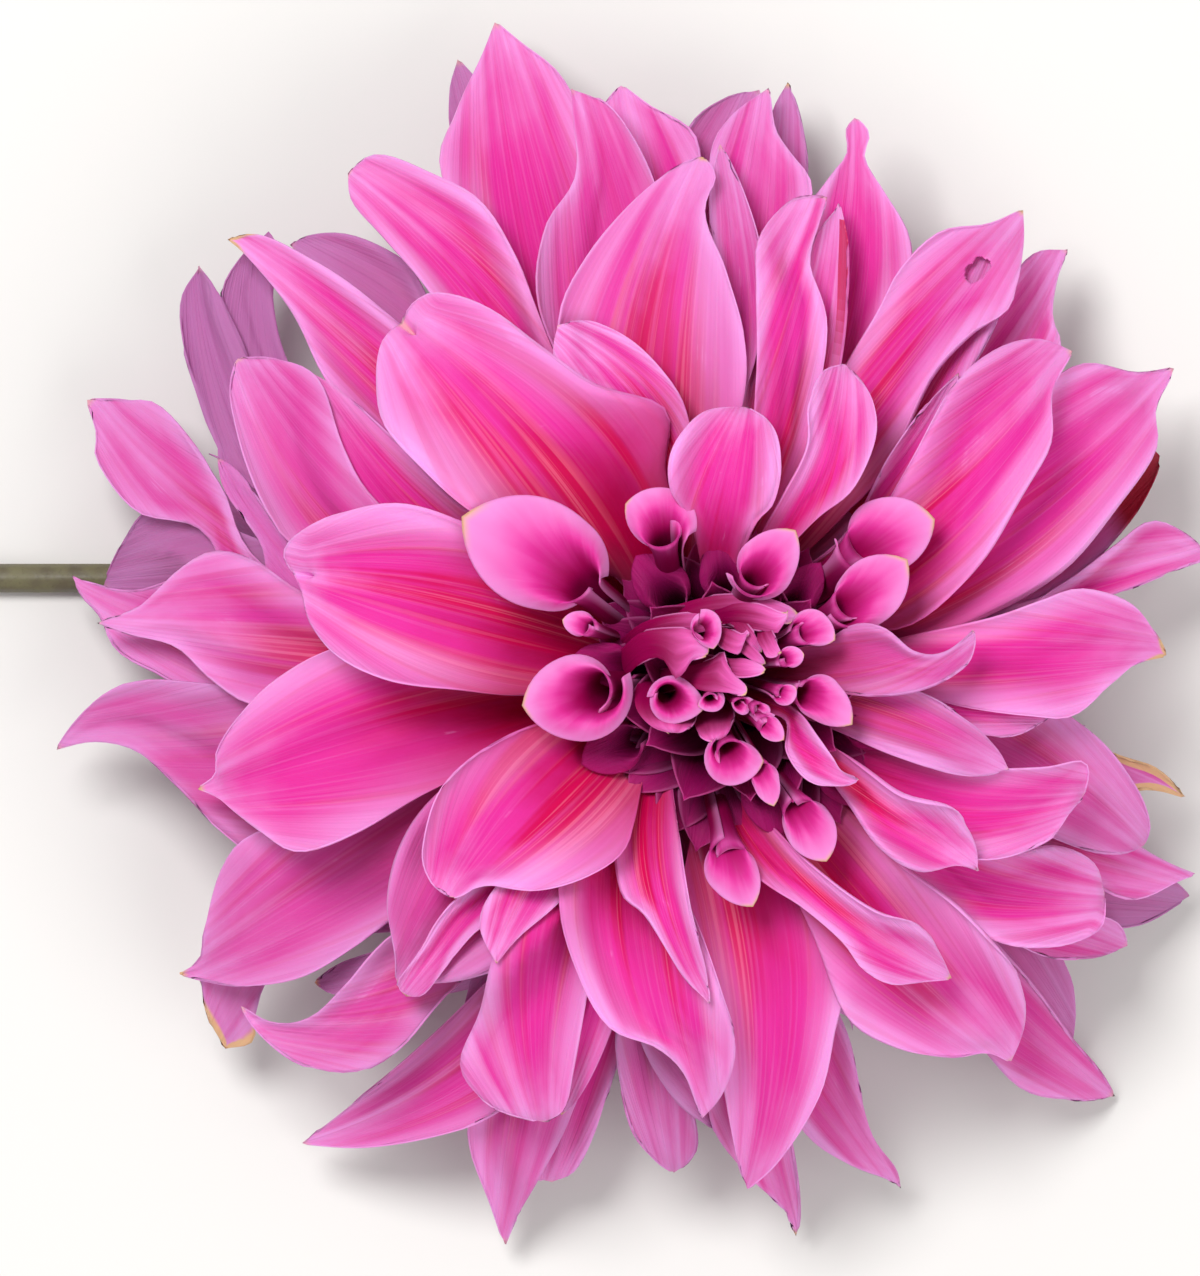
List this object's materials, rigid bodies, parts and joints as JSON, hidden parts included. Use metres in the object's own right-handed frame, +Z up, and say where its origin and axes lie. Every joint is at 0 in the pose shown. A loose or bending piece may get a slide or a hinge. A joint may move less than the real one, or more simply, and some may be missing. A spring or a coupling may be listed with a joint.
{
  "type": "dahlia flower",
  "caption": "Cut double dahlia bloom with pointed petals in layers, rolled centre florets, green calyx and a long stem, laid face up on its back petals.",
  "frame": {"origin": "on the surface that the flower lies on, under the middle of the flower's box", "axes": "+Z up out of the bloom's face, -X along the stem towards its cut end, +Y across the stem"},
  "size_m": [0.292, 0.249, 0.0921],
  "materials": {
    "petal": "soft, satin petal: deep pink at the base, coral veins and lilac-pink margins",
    "centre": "soft, satin petal: deep magenta with mauve rims and tan tips",
    "green": "fleshy green bracts, slightly glossy",
    "stem": "smooth olive-brown stem with fine lengthwise ribs"
  },
  "bodies": {
    "root": {"petals": "petal", "centre_florets": "centre", "calyx": "green", "stem": "stem"}
  },
  "joints": []
}
